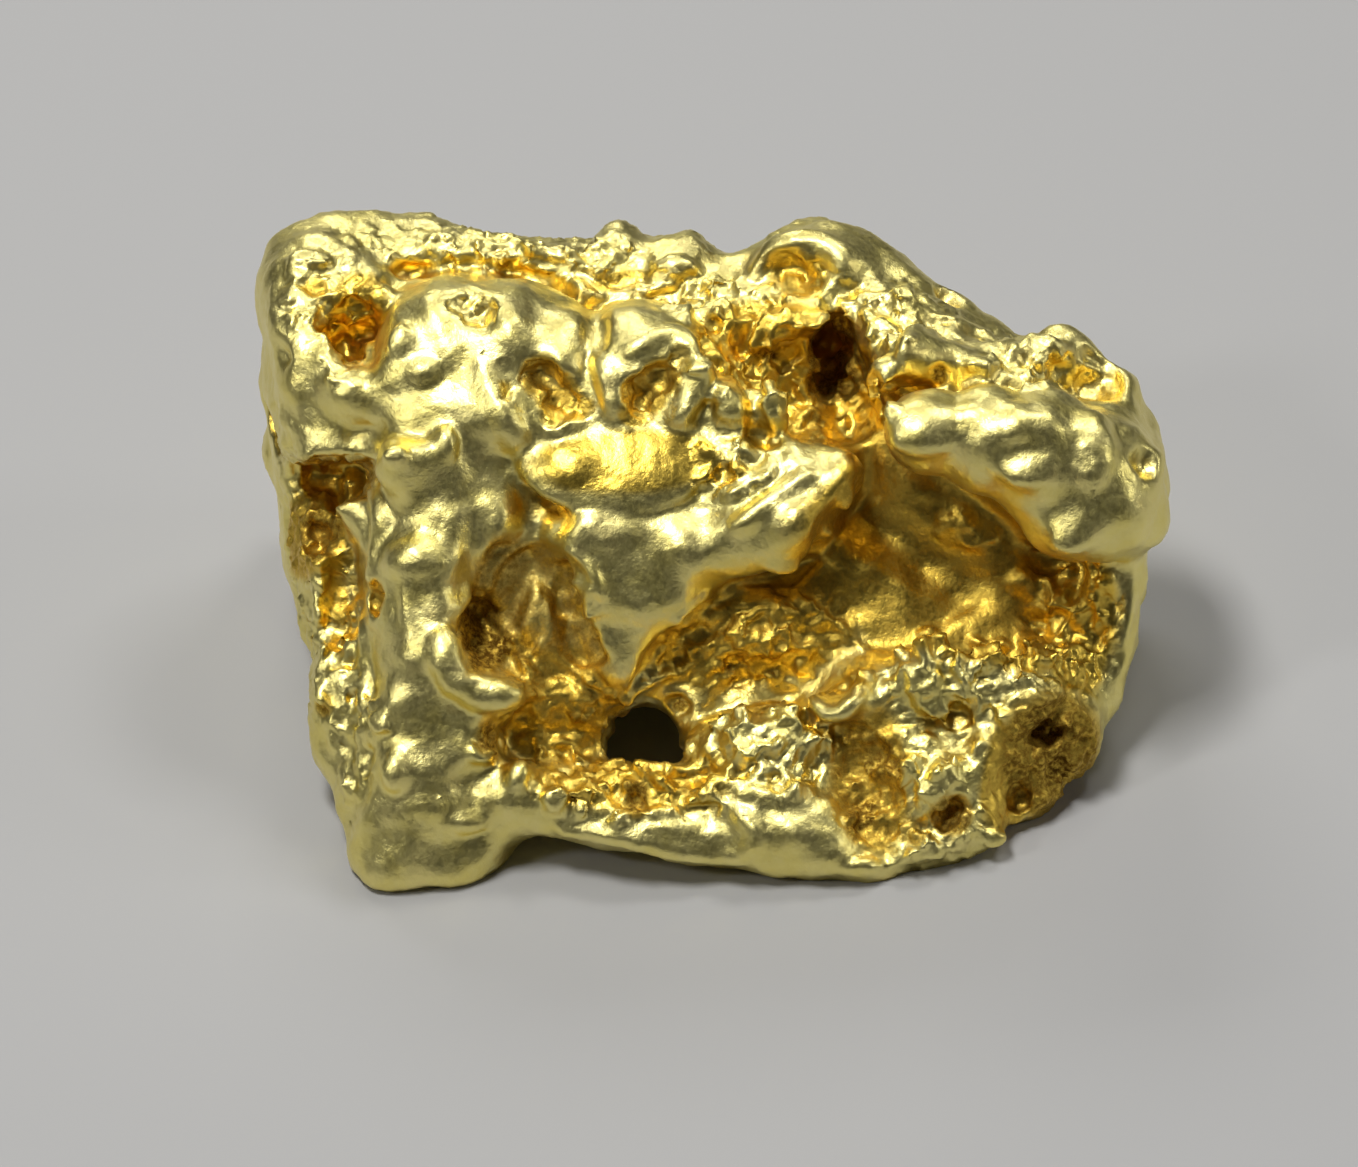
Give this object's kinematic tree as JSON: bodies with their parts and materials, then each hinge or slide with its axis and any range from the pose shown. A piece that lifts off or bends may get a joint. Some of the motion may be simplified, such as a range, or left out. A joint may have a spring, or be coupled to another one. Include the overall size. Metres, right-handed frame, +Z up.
{
  "type": "gold nugget",
  "caption": "Natural gold nugget: one lumpy, worn piece with pits, crystal moulds, an undercut lip and a small hole through the lip.",
  "frame": {"origin": "middle of the nugget's bounding box, on the surface that its worn feet rest on", "axes": "+Z up from the resting surface; +X along the nugget's length; -Y towards the leaning broad face with the crystal moulds"},
  "size_m": [0.0118, 0.0086, 0.0057],
  "materials": {
    "native_gold": "water-worn native gold, pale and satin on the lobes, deep orange in the hollows"
  },
  "bodies": {
    "root": {"nugget": "native_gold"}
  },
  "joints": []
}
